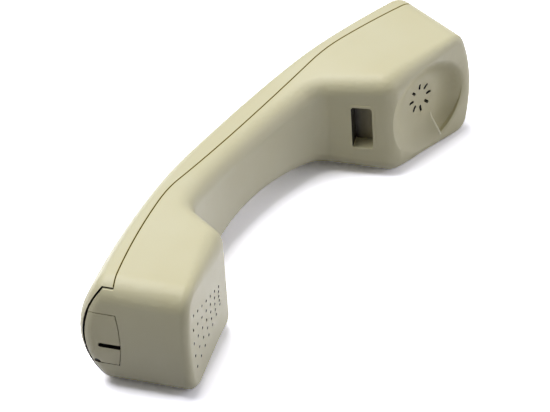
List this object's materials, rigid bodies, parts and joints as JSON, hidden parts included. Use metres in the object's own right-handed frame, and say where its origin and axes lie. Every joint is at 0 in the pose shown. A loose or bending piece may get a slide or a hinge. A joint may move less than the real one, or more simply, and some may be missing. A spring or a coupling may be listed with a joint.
{
  "type": "telephone handset",
  "caption": "Curved corded telephone handset with a dished earpiece, perforated mouthpiece, hanging slot and a pull-off cord cover on the mouth end",
  "frame": {"origin": "middle of the bounding box in plan, on the plane of the flat side that the handset rests on", "axes": "+X from the mouth end to the ear end, +Y from the ear and mouth faces towards the back, +Z across the width and up as it lies"},
  "size_m": [0.2306, 0.0628, 0.0475],
  "materials": {
    "ivory_plastic": "fine satin moulded plastic",
    "cover_plastic": "fine satin moulded plastic",
    "dark_plastic": "plain moulded",
    "contact_metal": "bright plated",
    "foam": "soft foam",
    "felt": "thin felt",
    "clear_film": "thin formed film",
    "copper": "wound enamelled wire",
    "bright_steel": "zinc plated",
    "magnet": "sintered, smooth",
    "board": "laminate board",
    "screw_steel": "zinc plated",
    "red_lead": "insulated wire",
    "green_lead": "insulated wire",
    "boot_rubber": "soft moulded rubber",
    "capsule": "drawn can",
    "weight_iron": "plain bar"
  },
  "bodies": {
    "handset": {"front_shell": "ivory_plastic", "back_shell": "ivory_plastic", "jack_body": "dark_plastic", "jack_contacts": "contact_metal", "receiver_gasket": "foam", "receiver_felt": "felt", "receiver_frame": "dark_plastic", "receiver_diaphragm": "clear_film", "receiver_voice_coil": "copper", "receiver_pole_plate": "bright_steel", "receiver_magnet": "magnet", "receiver_yoke": "bright_steel", "receiver_terminal_board": "board", "receiver_retainer": "bright_steel", "retainer_screws": "screw_steel", "receiver_leads": "red_lead", "mic_felt": "felt", "mic_boot": "boot_rubber", "mic_capsule": "capsule", "mic_board": "board", "mic_leads": "green_lead", "handle_weight": "weight_iron", "weight_screws": "screw_steel"},
    "cover": {"end_cover": "cover_plastic"}
  },
  "joints": [
    {"name": "end_cover_slide", "type": "slide", "parent": "handset", "child": "cover", "axis": [-0.9694, -0.2453, 0], "range_m": [0, 0.006]}
  ]
}
